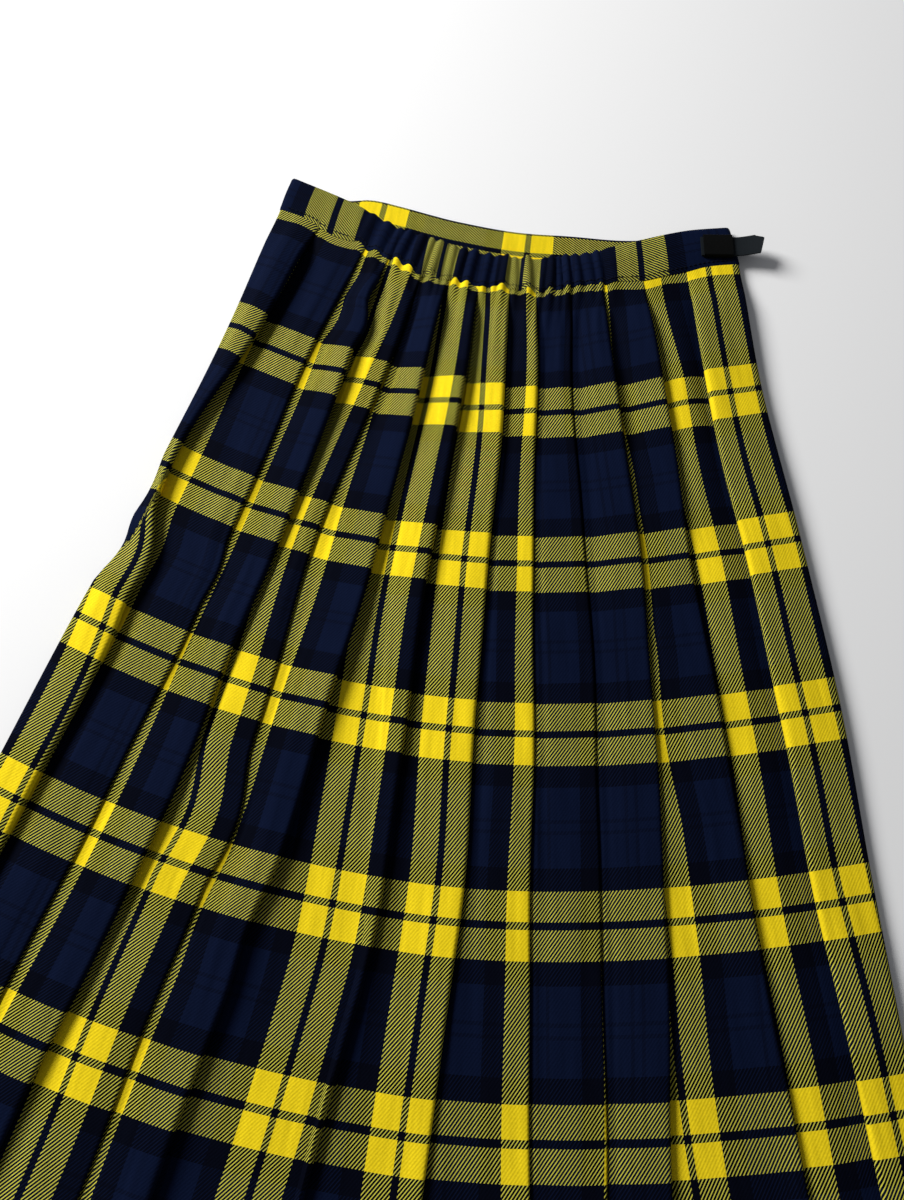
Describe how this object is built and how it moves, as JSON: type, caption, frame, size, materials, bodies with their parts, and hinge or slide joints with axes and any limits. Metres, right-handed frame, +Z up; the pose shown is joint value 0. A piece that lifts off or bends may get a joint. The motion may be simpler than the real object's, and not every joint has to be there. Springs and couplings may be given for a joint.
{
  "type": "kilt skirt",
  "caption": "Pleated check kilt skirt laid flat, with a flat front, knife pleats on the upper side, elastic back waist and a hip strap.",
  "frame": {"origin": "on the ground under the middle of the laid-out skirt's bounding box", "axes": "+Y from the hem to the waistband along the skirt's length, +X across it to the strap's side, +Z up from the surface it lies on"},
  "size_m": [0.6534, 0.8022, 0.0185],
  "materials": {
    "check_cloth": "matte twill, navy and black check with yellow double stripes",
    "strap_black": "matte",
    "keeper_black": "matte"
  },
  "bodies": {
    "root": {"skirt_back": "check_cloth", "skirt_front": "check_cloth", "waistband_back": "check_cloth", "waistband_front": "check_cloth", "adjuster_strap": "strap_black", "adjuster_keeper": "keeper_black"}
  },
  "joints": []
}
